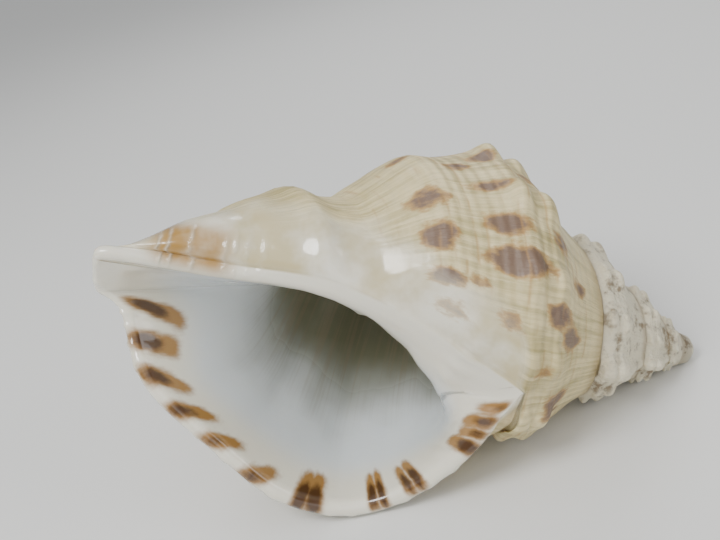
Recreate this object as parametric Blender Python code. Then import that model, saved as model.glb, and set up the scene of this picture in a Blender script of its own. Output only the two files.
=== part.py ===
# Sea snail shell of the triton kind, grown as one piece: a knobbed spire, a wide last whorl,
# a flared lip with a thick rounded edge, an open canal and a spiral hollow inside.
# Shape is worked out in millimetres in the shell's own frame, where the worn tip of the spire is
# at the origin, heights run down the coiling axis and growth angles turn about it.
import math

import bmesh
import bpy
import numpy as np
from mathutils import Matrix, Vector

# Coiling: each whorl is larger than the one before by whorlRatio
whorlRatio = 1.687
growthRate = math.log(whorlRatio) / (2 * math.pi)
sutureHeight = 70.9
# Before the lip's tip the join between whorls climbs toward the spire
sutureClimb = 5.5
climbStart = math.radians(-345)
climbEnd = math.radians(-200)
axisLeanBack = 0.052
axisLeanSide = 0.071

# Outline of a whorl at growth angle 0: height down the axis, distance from it
whorlOutline = [
    (70.9, 35.6), (78.0, 40.0), (86.0, 45.0), (92.0, 50.5), (98.0, 56.5), (102.0, 58.6),
    (107.0, 59.4), (113.0, 62.4), (119.6, 60.06), (126.0, 57.6), (134.0, 55.6), (141.0, 54.9),
    (147.0, 51.0), (158.0, 41.0), (167.0, 34.0), (176.0, 33.0), (185.0, 35.0), (193.0, 31.0),
    (206.0, 25.6), (215.0, 17.5), (226.0, 11.3), (240.0, 5.0)]

# Knobs in two rows: height at growth 1, how far they stand out, half width down the whorl
knobRows = [(100.0, 3.6, 5.0), (113.0, 3.0, 4.5)]
knobPitch = math.radians(33.2)
knobStart = math.radians(-192)
lastKnob = math.radians(-22)
knobEnd = math.radians(-4)
knobHollow = -0.2
# Old lips left as ridges across the whorls: growth angle, how far they stand out
varices = [(math.radians(-316), 4.5), (math.radians(-628), 4.5), (math.radians(-985), 4.5)]
varixSpread = math.radians(10)
varixMiddle = 98.0
varixHalfHeight = 17.0

# The tip of the spire is worn blunt: how much wider it is, over what height
apexWidening = 1.6
apexReach = 9.0
apexTop = 3.6
apexDome = [0.8, 0.45]

# Mesh density
columnsPerTurn = 30
spireTurns = 3.5
whorlShares = [0, .08, .17, .26, .35, .45, .55, .63, .71, .79, .86, .93, 1]
whorlRows = len(whorlShares) - 1
baseRows = 12
rimRows = 4
ringCount = 66

# The lip meets the whorl before it at the posterior tip, a full turn from the base's first column
tipAngle = math.radians(88)
firstAngle = tipAngle - 2 * math.pi
columellaAngle = math.radians(-244)

# The canal's outer wall: height, distance from the canal's own middle
canalOutline = [(150, 16.5), (178, 16.0), (188, 13.8), (196, 11.0), (204, 8.2)]
canalBulge = 0.32
canalBulgeAngle = math.radians(-150)
canalBend = (6.5, -1.0)
canalStart = 160.0
canalEnd = 204.0
canalBlend = 5.0

# Shares of a column's length over which it is blended into what it joins
whorlJoin = 0.4
baseJoin = 0.3
canalJoin = 0.55
neckJoin = 0.5

# Edge of the mouth: place on the ring, x, y, height. From the posterior tip along the lip,
# around the open end of the canal and back up the columella and the wall of the whorl before
mouthEdge = [
    (0, 0.5, -41.5, 76.8), (1.5, 9.5, -40.2, 79.0), (3.5, 21.3, -38, 82.3), (5.3, 33.0, -36, 86.0),
    (7.0, 44.5, -34, 92.6), (8.5, 52.8, -32.5, 99.0), (9.8, 59, -31, 106), (12, 63.3, -30, 120),
    (13.3, 62.6, -29, 129), (15, 60.7, -27, 140.5), (16.4, 56, -25, 148), (18, 49.7, -22, 158),
    (19.5, 45.3, -18, 167.7), (21.2, 40.8, -13, 179.3), (22.7, 34.7, -8, 187), (24, 28, -3, 190.5),
    (28, 17.5, 2.6, 195.5), (32, 15.5, 4, 203), (39, 8.0, 2.0, 204), (47, 0.5, -3.0, 204),
    (54, -4.2, -8, 202.4), (55.5, -4.6, -9, 188), (57, -4.2, -10.5, 172), (58.5, -4.5, -12.5, 159),
    (60, -8.0, -15.5, 147), (61.5, -11.5, -20, 133), (63, -9.5, -25, 117.5), (64, -6, -30, 104),
    (65, -2, -37, 90), (66, 0.5, -41.5, 76.8)]
lipEnd = 24
canalEndLast = 54
canalNotch = 30
mouthFacing = Vector((-0.03, -0.95, 0.31)).normalized()
canalFacing = Vector((0.0, -0.75, 0.66)).normalized()

# How the edge is rounded: place on the ring, radius, angle of the crest, angle where the outside
# starts, angle where the inside starts, share of canalFacing
edgeRounding = [
    (0, 1.6, 0, -55, 150, 0), (4, 2.6, 0, -65, 150, 0), (12, 3.0, 0, -70, 150, 0),
    (22, 2.8, 0, -70, 150, 0), (26, 2.4, 10, -70, 150, 0), (32, 2.2, 20, -60, 150, 0.3),
    (46, 2.2, 45, -50, 160, 1.0), (54, 2.2, 90, -30, 170, 0.6), (57, 2.6, 120, 10, 180, 0),
    (60, 3.0, 140, 40, 185, 0), (63, 3.0, 120, 60, 180, 0), (65, 2.0, 60, 20, 160, 0),
    (66, 1.6, 0, -55, 150, 0)]

# Inner corner of the mouth beside the tip, where the lip lies on the whorl before
mouthCorner = (16.5, -24.0, 90.0)
cornerSpread = 2.1
cornerPower = 1.2
edgeRounds = 3
settleReach = 8
settleRounds = 6
lipFlareAngle = math.radians(17)
neckFlareAngle = math.radians(30)
columellaFlareAngle = math.radians(35)
hollowFlareAngle = math.radians(19)

# Outline of the hollow at growth angle 0: place on the ring, distance, height
hollowOutline = [
    (0, 36.5, 80.5), (2, 39.5, 84), (4, 43, 88.5), (6, 48, 95.5), (8, 52.2, 101.5), (10, 55, 108),
    (12, 56.5, 115), (14, 54.5, 122.5), (16, 51.5, 130.5), (18, 49.3, 138.5), (20, 44.5, 146.5),
    (24, 37.5, 157.5), (32, 29, 166), (40, 20, 165), (48, 13, 152), (54, 10, 138), (57, 10.5, 127),
    (60, 13.5, 115), (62, 19, 106), (64, 27.5, 95), (65, 32.5, 87.5), (66, 36.5, 80.5)]
# Share of each place on the ring that turns about the axis as the hollow starts; the rest of it
# runs straight in along the canal and the columella
turningShare = [(0, 1), (22, 1), (26, .6), (29, .2), (32, 0), (61.5, 0), (63, .25), (64, .55),
                (65, .85), (66, 1)]
hollowSteps = [.06, .14, .24, .35, .47, .6, .73, .86, 1.0]
hollowStart = math.radians(-60)
hollowEnd = math.radians(-700)
hollowMiddle = (33.0, 115.0)
hollowNarrowing = 0.18
narrowFrom = math.radians(110)
narrowTo = math.radians(230)
hollowTurnRows = 32

# Resting place: direction that points down at the table, and how much of the lip, the knob and
# the spire is worn flat where the shell stands on them
downDirection = Vector((0.880, 0.018, 0.4745)).normalized()
wornDepth = 1.2
shellColour = (0.80, 0.74, 0.60, 1.0)
shellRoughness = 0.35


def smoothThrough(knots, x):
    """A curve through the knots that never swings past them."""
    knots = np.asarray(knots, float)
    a, b = knots[:, 0], knots[:, 1]
    slope = np.diff(b) / np.diff(a)
    tangent = np.zeros(len(a))
    tangent[0], tangent[-1] = slope[0], slope[-1]
    same = slope[:-1] * slope[1:] > 0
    pair = slope[:-1][same], slope[1:][same]
    tangent[1:-1][same] = 2 * pair[0] * pair[1] / (pair[0] + pair[1])
    x = np.clip(np.asarray(x, float), a[0], a[-1])
    k = np.clip(np.searchsorted(a, x) - 1, 0, len(a) - 2)
    span = a[k + 1] - a[k]
    t = (x - a[k]) / span
    return ((1 + 2 * t) * (1 - t) ** 2 * b[k] + t * (1 - t) ** 2 * span * tangent[k]
            + t * t * (3 - 2 * t) * b[k + 1] + t * t * (t - 1) * span * tangent[k + 1])


def ramp(x, low, high):
    t = np.clip((np.asarray(x, float) - low) / (high - low), 0, 1)
    return t * t * (3 - 2 * t)


def smoothMax(a, b, width):
    share = np.clip(0.5 + 0.5 * (a - b) / width, 0, 1)
    return b * (1 - share) + a * share + width * share * (1 - share)


def growth(angle):
    return np.exp(growthRate * angle)


def lean(angle):
    """The axis leans a little, so the shell is fuller toward its back."""
    return 1 - axisLeanBack * np.cos(angle) - axisLeanSide * np.sin(angle)


def swellings(angle, height):
    wave = np.clip(np.cos((angle - knobStart) * 2 * math.pi / knobPitch), knobHollow, 1)
    swell = sum(rise * np.exp(-((height - middle) / halfWidth) ** 2)
                for middle, rise, halfWidth in knobRows)
    across = np.exp(-((height - varixMiddle) / varixHalfHeight) ** 4)
    ridge = sum(rise * np.exp(-((angle - turn) / varixSpread) ** 2) for turn, rise in varices)
    return wave * swell * (1 - ramp(angle, lastKnob, knobEnd)) + ridge * across


def whorlRadius(angle, height):
    """Distance from the axis; height is given at growth 1."""
    scale = growth(angle)
    plain = scale * lean(angle) * (smoothThrough(whorlOutline, height) + swellings(angle, height))
    return plain + apexWidening * np.exp(-(scale * height / apexReach) ** 2)


def around(radius, angle, height):
    """A place in the shell's frame; the canal's middle bends away from the axis."""
    bend = ramp(height, canalStart, canalEnd)
    x = canalBend[0] * bend + radius * np.cos(angle)
    y = canalBend[1] * bend - radius * np.sin(angle)
    return np.stack([x, y, height], -1)


def sutureLine(angle):
    """Height at growth 1 where the next whorl joins; it climbs toward the tip of the lip."""
    climb = ramp(angle, climbStart, firstAngle) * (1 - ramp(angle, firstAngle, climbEnd))
    return sutureHeight * whorlRatio - sutureClimb * climb


def unit(vectors):
    return vectors / np.linalg.norm(vectors, axis=-1, keepdims=True)


def edgeRings():
    """Rings over the rounded edge of the mouth: the first joins the outside, the last the hollow."""
    place = np.arange(ringCount)
    knots = np.array(mouthEdge)
    crest = np.stack([smoothThrough(knots[:, [0, axis]], place) for axis in (1, 2, 3)], -1)
    style = np.array(edgeRounding, float)
    radius, crestAngle, outside, inside, canalShare = [
        smoothThrough(style[:, [0, column]], place) for column in range(1, 6)]
    for _ in range(edgeRounds):
        crest[1:] += 0.25 * (np.roll(crest, 1, 0) + np.roll(crest, -1, 0) - 2 * crest)[1:]
    along = unit(np.roll(crest, -1, 0) - np.roll(crest, 1, 0))
    facing = np.outer(1 - canalShare, mouthFacing) + np.outer(canalShare, canalFacing)
    outward = unit(np.cross(along, facing))
    forward = unit(np.cross(outward, along))

    def onEdge(angle):
        angle = np.radians(angle)
        return radius[:, None] * (np.cos(angle)[:, None] * outward + np.sin(angle)[:, None] * forward)

    middle = crest - onEdge(crestAngle)
    toCorner = np.array(mouthCorner) - (middle + onEdge(inside))[0]
    fromTip = np.minimum(place, ringCount - place)
    nearTip = np.exp(-(fromTip / cornerSpread) ** 2)
    rings = []
    for row in range(rimRows + 1):
        share = row / rimRows
        ring = middle + onEdge(outside + (inside - outside) * share)
        rings.append(ring + share ** cornerPower * nearTip[:, None] * toCorner)
    return rings


def fading(steps, sweep, flareAngle):
    """1 at the edge of the mouth, falling to 0 at the far end of the sweep."""
    last = math.exp(-sweep / flareAngle)
    return (np.exp(-steps * sweep / flareAngle) - last) / (1 - last)


def whorlGrid(edge):
    """Whorls from the tip of the spire to the lip: columns by growth, rows from suture to suture."""
    columns = int(round(spireTurns * columnsPerTurn)) + columnsPerTurn
    lastTurn = columns - columnsPerTurn
    shares = np.array(whorlShares)
    lipAngle = np.arctan2(-edge[:whorlRows + 1, 1], edge[:whorlRows + 1, 0])
    lipAngle[0] = tipAngle
    column = np.arange(columns + 1)
    turned = (column - lastTurn) / columnsPerTurn
    angle = np.where(turned[:, None] > 0, firstAngle + np.outer(turned, lipAngle - firstAngle),
                     (firstAngle + 2 * math.pi * turned)[:, None] + 0 * lipAngle)
    height = sutureHeight + (sutureLine(angle) - sutureHeight) * shares
    points = around(whorlRadius(angle, height), angle, growth(angle) * height)
    for c in range(columnsPerTurn, columns + 1):
        # A whorl starts on the outside of the one before
        step = points[c - columnsPerTurn, -1] - points[c, 0]
        points[c] += (1 - ramp(shares, 0, whorlJoin))[:, None] * step
    share = fading(1 - turned[lastTurn:], tipAngle - firstAngle, lipFlareAngle)
    points[lastTurn:] += share[:, None, None] * (edge[:whorlRows + 1] - points[-1])
    for c in range(lastTurn, columns + 1):
        points[c - columnsPerTurn, -1] = points[c, 0]
    return points


def baseGrid(edge, suture):
    """Base and canal of the last whorl: columns by growth, rows from the suture to the canal's end."""
    turned = np.arange(columnsPerTurn + 1) / columnsPerTurn
    share = np.linspace(0, 1, baseRows + 1)
    lip = edge[whorlRows:lipEnd + 1]
    lipAngle = np.arctan2(-lip[:, 1], lip[:, 0])
    lipAngle[-1] = 0
    innerAngle = firstAngle + (columellaAngle - firstAngle) * share
    angle = innerAngle + np.outer(turned, lipAngle - innerAngle)
    canalRing = edge[canalEndLast - np.arange(columnsPerTurn + 1)]
    height = suture[:, 2:] + (canalRing[:, 2:] - suture[:, 2:]) * share
    radius = whorlRadius(angle, height / growth(angle))
    canal = smoothThrough(canalOutline, height)
    canal *= 1 + canalBulge * (0.5 + 0.5 * np.cos(angle - canalBulgeAngle)) ** 2
    points = around(smoothMax(radius, canal, canalBlend), angle, height)
    points += (1 - ramp(share, 0, baseJoin))[None, :, None] * (suture - points[:, 0])[:, None]
    points += ramp(share, canalJoin, 1)[None, :, None] * (canalRing - points[:, -1])[:, None]
    sweep = tipAngle - firstAngle
    lipShare = np.outer(fading(1 - turned, sweep, lipFlareAngle), 1 - ramp(share, 0, neckJoin))
    lipShare += np.outer(fading(1 - turned, sweep, neckFlareAngle), ramp(share, 0, neckJoin))
    points += lipShare[:, :, None] * (lip - points[-1])
    inner = np.concatenate([edge[:1], edge[:canalEndLast - 1:-1]])
    innerShare = fading(turned, -columellaAngle, columellaFlareAngle)
    points += innerShare[:, None, None] * (inner - points[0])
    points[:, 0] = suture
    return points


def hollowRings(mouth):
    """Rings of the hollow, from the inner ring of the mouth's edge to its end up in the spire."""
    place = np.arange(ringCount)
    outline = np.array(hollowOutline, float)
    distance = smoothThrough(outline[:, [0, 1]], place)
    height = smoothThrough(outline[:, [0, 2]], place)

    def ringAt(angle, widen=0, lower=0):
        narrowed = hollowNarrowing * ramp(-angle, narrowFrom, narrowTo)
        reach = distance + (hollowMiddle[0] - distance) * narrowed
        depth = height + (hollowMiddle[1] - height) * narrowed
        radius = growth(angle) * lean(angle) * reach + widen
        return np.stack([radius * np.cos(angle), -radius * np.sin(angle),
                         growth(angle) * depth + lower], -1)

    turning = smoothThrough(turningShare, place)[:, None]
    mouthAngle = np.where(turning[:, 0] > 0.05, np.arctan2(-mouth[:, 1], mouth[:, 0]), 0)
    widen = np.hypot(mouth[:, 0], mouth[:, 1]) - growth(mouthAngle) * lean(mouthAngle) * distance
    lower = mouth[:, 2] - growth(mouthAngle) * height
    rings = [mouth]
    for step in hollowSteps:
        angle = mouthAngle + (hollowStart - mouthAngle) * step
        last = np.exp(-(mouthAngle - hollowStart) / hollowFlareAngle)
        share = (np.exp(-(mouthAngle - angle) / hollowFlareAngle) - last) / (1 - last)
        turned = ringAt(angle, widen * share, lower * share)
        straight = mouth * (1 - step) + ringAt(hollowStart + 0 * angle) * step
        rings.append(turning * turned + (1 - turning) * straight)
    for row in range(1, hollowTurnRows + 1):
        angle = hollowStart + (hollowEnd - hollowStart) * row / hollowTurnRows
        rings.append(ringAt(angle + 0 * mouthAngle))
    return rings


def settle(rings):
    """Evens out the rings where the lip, the whorl before and the hollow meet at the tip."""
    grid = np.array(rings)
    place = np.arange(ringCount)
    row = np.arange(len(grid))[:, None]
    onLip = (1 - ramp(place, 3, settleReach)) * ramp(row, 2, 6)
    onWhorl = 1 - ramp(ringCount - place, 3, settleReach + 2)
    onNotch = (1 - ramp(abs(place - canalNotch), 3, settleReach)) * ramp(row, 1, 4)
    share = (np.maximum(onLip + onNotch, onWhorl) * (1 - ramp(row, 7, 13)))[:, :, None]
    for _ in range(settleRounds):
        around4 = (np.roll(grid, 1, 1) + np.roll(grid, -1, 1))[1:-1] + grid[2:] + grid[:-2]
        grid[1:-1] += (around4 / 4 - grid[1:-1]) * share[1:-1]
    return list(grid)


class ShellMesh:
    """Points and faces of the shell while it is put together."""

    def __init__(self):
        self.points = []
        self.faces = []

    def add(self, point):
        self.points.append(point)
        return len(self.points) - 1

    def quad(self, corners):
        kept = [v for k, v in enumerate(corners) if v != corners[k - 1]]
        if len(kept) > 2:
            self.faces.append(kept)

    def grid(self, rows):
        for low, high in zip(rows, rows[1:]):
            for k in range(len(low) - 1):
                self.quad([low[k], high[k], high[k + 1], low[k + 1]])

    def tunnel(self, loop, rings):
        for ring in rings:
            new = [self.add(point) for point in ring]
            for k in range(len(loop)):
                after = (k + 1) % len(loop)
                self.quad([loop[k], new[k], new[after], loop[after]])
            loop = new
        return loop

    def fan(self, loop, middle):
        centre = self.add(middle)
        for k, v in enumerate(loop):
            self.faces.append([v, centre, loop[(k + 1) % len(loop)]])


def buildShell():
    rings = edgeRings()
    edge = rings[0]
    whorls = whorlGrid(edge)
    columns = len(whorls) - 1
    lastTurn = columns - columnsPerTurn
    base = baseGrid(edge, whorls[lastTurn:, -1])
    shell = ShellMesh()

    whorlIds = []
    for c, column in enumerate(whorls):
        ids = [shell.add(point) for point in column[1:]]
        start = whorlIds[c - columnsPerTurn][-1] if c >= columnsPerTurn else shell.add(column[0])
        whorlIds.append([start] + ids)
    shell.grid(whorlIds)
    baseIds = [[whorlIds[lastTurn + c][-1]] + [shell.add(point) for point in column[1:]]
               for c, column in enumerate(base)]
    shell.grid(baseIds)

    mouthLoop = whorlIds[-1][:-1] + baseIds[-1][:-1] + [ids[-1] for ids in baseIds[:0:-1]]
    mouthLoop += baseIds[0][:0:-1]
    inside = settle(rings + hollowRings(rings[-1])[1:])
    last = shell.tunnel(mouthLoop, inside[1:])
    shell.fan(last, np.mean([shell.points[v] for v in last], 0))

    crown = [whorlIds[0][k] for k in range(whorlRows, 0, -1)][1:]
    crown += [ids[0] for ids in whorlIds[:columnsPerTurn + 1]]
    top = np.mean([shell.points[v] for v in crown], 0)
    top[2] = apexTop
    rim = np.array([shell.points[v] for v in crown])
    dome = [top + (rim - top) * (share, share, 1 - math.sqrt(1 - share ** 2)) for share in apexDome]
    shell.fan(shell.tunnel(crown, dome), top)
    return np.array(shell.points), shell.faces


def stand(points):
    """Turns the shell to its resting place, in metres, and wears the places it stands on flat."""
    up = -downDirection
    spireWay = Vector((0, 0, 1)) - up * up.z
    spireWay.normalize()
    turn = np.array(Matrix((spireWay, up.cross(spireWay), up)))
    placed = (points * (1, 1, -1)) @ turn.T
    placed[:, 2] -= placed[:, 2].min() + wornDepth
    placed[:, 2] = np.maximum(placed[:, 2], 0)
    low, high = placed[:, :2].min(0), placed[:, :2].max(0)
    placed[:, :2] -= (low + high) / 2
    return placed / 1000


def shellMaterial():
    material = bpy.data.materials.new("shell")
    material.use_nodes = True
    shader = material.node_tree.nodes["Principled BSDF"]
    shader.inputs["Base Color"].default_value = shellColour
    shader.inputs["Roughness"].default_value = shellRoughness
    shader.inputs["Metallic"].default_value = 0.0
    material.diffuse_color = shellColour
    return material


def main():
    for item in list(bpy.data.objects):
        bpy.data.objects.remove(item, do_unlink=True)
    points, faces = buildShell()
    mesh = bpy.data.meshes.new("shell")
    mesh.from_pydata(stand(points).tolist(), [], faces)
    work = bmesh.new()
    work.from_mesh(mesh)
    bmesh.ops.recalc_face_normals(work, faces=work.faces)
    bmesh.ops.triangulate(work, faces=work.faces)
    work.to_mesh(mesh)
    work.free()
    mesh.shade_smooth()
    mesh.materials.append(shellMaterial())
    bpy.context.scene.collection.objects.link(bpy.data.objects.new("shell", mesh))


main()
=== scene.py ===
# Sea snail shell of the triton kind, dressed for the studio.
# Lengths in the shape's own frame are millimetres: the spire's tip is at the origin, heights run
# down the coiling axis, and growth angles turn about it (0 lies toward +x, earlier growth is less).
import math

import bpy
import numpy as np
from mathutils import Matrix, Vector, noise


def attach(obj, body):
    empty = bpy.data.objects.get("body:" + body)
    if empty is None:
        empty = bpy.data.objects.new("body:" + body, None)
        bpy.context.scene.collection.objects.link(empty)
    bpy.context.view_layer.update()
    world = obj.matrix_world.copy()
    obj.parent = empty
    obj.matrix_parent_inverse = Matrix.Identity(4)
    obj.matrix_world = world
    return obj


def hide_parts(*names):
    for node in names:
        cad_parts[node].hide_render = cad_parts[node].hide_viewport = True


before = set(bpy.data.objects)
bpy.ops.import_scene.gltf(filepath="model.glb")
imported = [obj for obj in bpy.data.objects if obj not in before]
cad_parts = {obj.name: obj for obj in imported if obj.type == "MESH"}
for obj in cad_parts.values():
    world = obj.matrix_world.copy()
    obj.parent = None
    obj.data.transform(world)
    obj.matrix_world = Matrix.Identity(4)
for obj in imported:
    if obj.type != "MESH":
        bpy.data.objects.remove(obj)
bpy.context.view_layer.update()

# The shell as it grows. Angles are in degrees here and turned to radians where they are used
growthForm = {
    "whorlRatio": 1.687,
    "sutureHeight": 70.9,
    # Before the lip's tip the join between whorls climbs toward the spire
    "sutureClimb": 5.5,
    "climbStart": -345.0,
    "climbEnd": -200.0,
    "leanBack": 0.052,
    "leanSide": 0.071,
    # height down the axis, distance from it, for the whorl at growth angle 0
    "whorlOutline": [
        (70.9, 35.6), (78.0, 40.0), (86.0, 45.0), (92.0, 50.5), (98.0, 56.5), (102.0, 58.6),
        (107.0, 59.4), (113.0, 62.4), (119.6, 60.06), (126.0, 57.6), (134.0, 55.6), (141.0, 54.9),
        (147.0, 51.0), (158.0, 41.0), (167.0, 34.0), (176.0, 33.0), (185.0, 35.0), (193.0, 31.0),
        (206.0, 25.6), (215.0, 17.5), (226.0, 11.3), (240.0, 5.0)],
    # height, how far the knobs stand out, half width down the whorl
    "knobRows": [(100.0, 3.6, 5.0), (113.0, 3.0, 4.5)],
    "knobPitch": 33.2,
    "knobStart": -192.0,
    "knobFade": (-22.0, -4.0),
    "knobHollow": -0.2,
    # growth angle of each old lip, how far it stands out
    "varices": [(-316.0, 4.5), (-628.0, 4.5), (-985.0, 4.5)],
    "varixSpread": 10.0,
    "varixMiddle": 98.0,
    "varixHalfHeight": 17.0,
    "apexWidening": 1.6,
    "apexReach": 9.0,
    "apexTop": 3.6,
    "apexDome": [0.8, 0.45],
    "tipAngle": 88.0,
    "columellaAngle": -244.0,
    "lipFlare": 17.0,
    "neckFlare": 30.0,
    "columellaFlare": 35.0,
    # Shares of a column's length over which it is blended into what it joins
    "whorlJoin": 0.4,
    "baseJoin": 0.3,
    "canalJoin": 0.55,
    "neckJoin": 0.5,
}
canalForm = {
    # height, distance from the canal's own middle
    "outline": [(150, 16.5), (178, 16.0), (188, 13.8), (196, 11.0), (204, 8.2)],
    "bulge": 0.32,
    "bulgeAngle": -150.0,
    "bend": (6.5, -1.0),
    "start": 160.0,
    "end": 204.0,
    "blend": 5.0,
}
mouthForm = {
    # place on the ring, x, y, height: along the lip, around the canal's open end and back up
    "edge": [
        (0, 0.5, -41.5, 76.8), (1.5, 9.5, -40.2, 79.0), (3.5, 21.3, -38, 82.3),
        (5.3, 33.0, -36, 86.0), (7.0, 44.5, -34, 92.6), (8.5, 52.8, -32.5, 99.0),
        (9.8, 59, -31, 106), (12, 63.3, -30, 120), (13.3, 62.6, -29, 129), (15, 60.7, -27, 140.5),
        (16.4, 56, -25, 148), (18, 49.7, -22, 158), (19.5, 45.3, -18, 167.7),
        (21.2, 40.8, -13, 179.3), (22.7, 34.7, -8, 187), (24, 28, -3, 190.5),
        (28, 17.5, 2.6, 195.5), (32, 15.5, 4, 203), (39, 8.0, 2.0, 204), (47, 0.5, -3.0, 204),
        (54, -4.2, -8, 202.4), (55.5, -4.6, -9, 188), (57, -4.2, -10.5, 172),
        (58.5, -4.5, -12.5, 159), (60, -8.0, -15.5, 147), (61.5, -11.5, -20, 133),
        (63, -9.5, -25, 117.5), (64, -6, -30, 104), (65, -2, -37, 90), (66, 0.5, -41.5, 76.8)],
    "ringCount": 66,
    "whorlEnd": 12,
    "lipEnd": 24,
    "canalEnd": 54,
    "canalNotch": 30,
    "facing": (-0.03, -0.95, 0.31),
    "canalFacing": (0.0, -0.75, 0.66),
    # place, radius, angle of the crest, where the outside starts, where the inside starts, share
    "rounding": [
        (0, 1.6, 0, -55, 150, 0), (4, 2.6, 0, -65, 150, 0), (12, 3.0, 0, -70, 150, 0),
        (22, 2.8, 0, -70, 150, 0), (26, 2.4, 10, -70, 150, 0), (32, 2.2, 20, -60, 150, 0.3),
        (46, 2.2, 45, -50, 160, 1.0), (54, 2.2, 90, -30, 170, 0.6), (57, 2.6, 120, 10, 180, 0),
        (60, 3.0, 140, 40, 185, 0), (63, 3.0, 120, 60, 180, 0), (65, 2.0, 60, 20, 160, 0),
        (66, 1.6, 0, -55, 150, 0)],
    "corner": (16.5, -24.0, 90.0),
    "cornerSpread": 2.1,
    "cornerPower": 1.2,
    "edgeRounds": 3,
    # Evening out beside the tip and the canal's notch: places, then rows of the inside
    "settleFrom": 3,
    "settleReach": 8,
    "whorlReach": 10,
    "settleLip": (2, 6),
    "settleNotch": (1, 4),
    "settleEnd": (7, 13),
    "settleRounds": 6,
}
hollowForm = {
    # place on the ring, distance, height
    "outline": [
        (0, 36.5, 80.5), (2, 39.5, 84), (4, 43, 88.5), (6, 48, 95.5), (8, 52.2, 101.5),
        (10, 55, 108), (12, 56.5, 115), (14, 54.5, 122.5), (16, 51.5, 130.5), (18, 49.3, 138.5),
        (20, 44.5, 146.5), (24, 37.5, 157.5), (32, 29, 166), (40, 20, 165), (48, 13, 152),
        (54, 10, 138), (57, 10.5, 127), (60, 13.5, 115), (62, 19, 106), (64, 27.5, 95),
        (65, 32.5, 87.5), (66, 36.5, 80.5)],
    # place, share of it that turns about the axis; the rest runs straight in along the canal
    "turningShare": [(0, 1), (22, 1), (26, .6), (29, .2), (32, 0), (61.5, 0), (63, .25),
                     (64, .55), (65, .85), (66, 1)],
    "turnsFrom": 0.05,
    "steps": [0, .06, .14, .24, .35, .47, .6, .73, .86, 1.0],
    "start": -60.0,
    "end": -700.0,
    "turnRows": 32,
    "flare": 19.0,
    "middle": (33.0, 115.0),
    "narrowing": 0.18,
    "narrowFrom": 110.0,
    "narrowTo": 230.0,
}
# The first set of counts gives the plain shape, the second the detailed one
plainCounts = {"columns": 30, "spireTurns": 3.5, "whorlRows": 12, "baseRows": 12, "rimRows": 4,
               "mouthSteps": 1, "turnSteps": 1}
fineCounts = {"columns": 180, "spireTurns": 3.5, "whorlRows": 48, "baseRows": 48, "rimRows": 12,
              "mouthSteps": 3, "turnSteps": 2}
# Plain row, share of the way from one join between whorls to the next
whorlShares = [(0, 0), (1, .08), (2, .17), (3, .26), (4, .35), (5, .45), (6, .55), (7, .63),
               (8, .71), (9, .79), (10, .86), (11, .93), (12, 1)]
standing = {"down": (0.880, 0.018, 0.4745), "offset": (93.954, -10.313, 0.383)}


def smoothThrough(knots, x):
    knots = np.asarray(knots, float)
    a, b = knots[:, 0], knots[:, 1]
    slope = np.diff(b) / np.diff(a)
    tangent = np.zeros(len(a))
    tangent[0], tangent[-1] = slope[0], slope[-1]
    same = slope[:-1] * slope[1:] > 0
    pair = slope[:-1][same], slope[1:][same]
    tangent[1:-1][same] = 2 * pair[0] * pair[1] / (pair[0] + pair[1])
    x = np.clip(np.asarray(x, float), a[0], a[-1])
    k = np.clip(np.searchsorted(a, x) - 1, 0, len(a) - 2)
    span = a[k + 1] - a[k]
    t = (x - a[k]) / span
    return ((1 + 2 * t) * (1 - t) ** 2 * b[k] + t * (1 - t) ** 2 * span * tangent[k]
            + t * t * (3 - 2 * t) * b[k + 1] + t * t * (t - 1) * span * tangent[k + 1])


def ramp(x, low, high):
    t = np.clip((np.asarray(x, float) - low) / (high - low), 0, 1)
    return t * t * (3 - 2 * t)


def bell(x, middle, halfWidth):
    return np.exp(-((x - middle) / halfWidth) ** 2)


def unit(vectors):
    return vectors / np.linalg.norm(vectors, axis=-1, keepdims=True)


def smoothMax(a, b, width):
    share = np.clip(0.5 + 0.5 * (a - b) / width, 0, 1)
    return b * (1 - share) + a * share + width * share * (1 - share)


growthRate = math.log(growthForm["whorlRatio"]) / 360
firstAngle = growthForm["tipAngle"] - 360


def growth(angle):
    return np.exp(growthRate * angle)


def lean(angle):
    turn = np.radians(angle)
    return 1 - growthForm["leanBack"] * np.cos(turn) - growthForm["leanSide"] * np.sin(turn)


def swellings(angle, height):
    form = growthForm
    wave = np.cos((angle - form["knobStart"]) * 2 * math.pi / form["knobPitch"])
    swell = sum(rise * bell(height, middle, half) for middle, rise, half in form["knobRows"])
    across = np.exp(-((height - form["varixMiddle"]) / form["varixHalfHeight"]) ** 4)
    ridge = sum(rise * bell(angle, turn, form["varixSpread"]) for turn, rise in form["varices"])
    knobs = np.clip(wave, form["knobHollow"], 1) * swell * (1 - ramp(angle, *form["knobFade"]))
    return knobs + ridge * across


def whorlRadius(angle, height):
    scale = growth(angle)
    plain = smoothThrough(growthForm["whorlOutline"], height) + swellings(angle, height)
    worn = growthForm["apexWidening"] * np.exp(-(scale * height / growthForm["apexReach"]) ** 2)
    return scale * lean(angle) * plain + worn


def around(radius, angle, height):
    bend = ramp(height, canalForm["start"], canalForm["end"])
    turn = np.radians(angle)
    return np.stack([canalForm["bend"][0] * bend + radius * np.cos(turn),
                     canalForm["bend"][1] * bend - radius * np.sin(turn), height], -1)


def sutureLine(angle):
    form = growthForm
    climb = ramp(angle, form["climbStart"], firstAngle)
    climb = climb * (1 - ramp(angle, firstAngle, form["climbEnd"]))
    return form["sutureHeight"] * form["whorlRatio"] - form["sutureClimb"] * climb


def turnOf(points):
    return np.degrees(np.arctan2(-points[..., 1], points[..., 0]))


def fading(steps, sweep, flare):
    last = math.exp(-sweep / flare)
    return (np.exp(-steps * sweep / flare) - last) / (1 - last)


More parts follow.
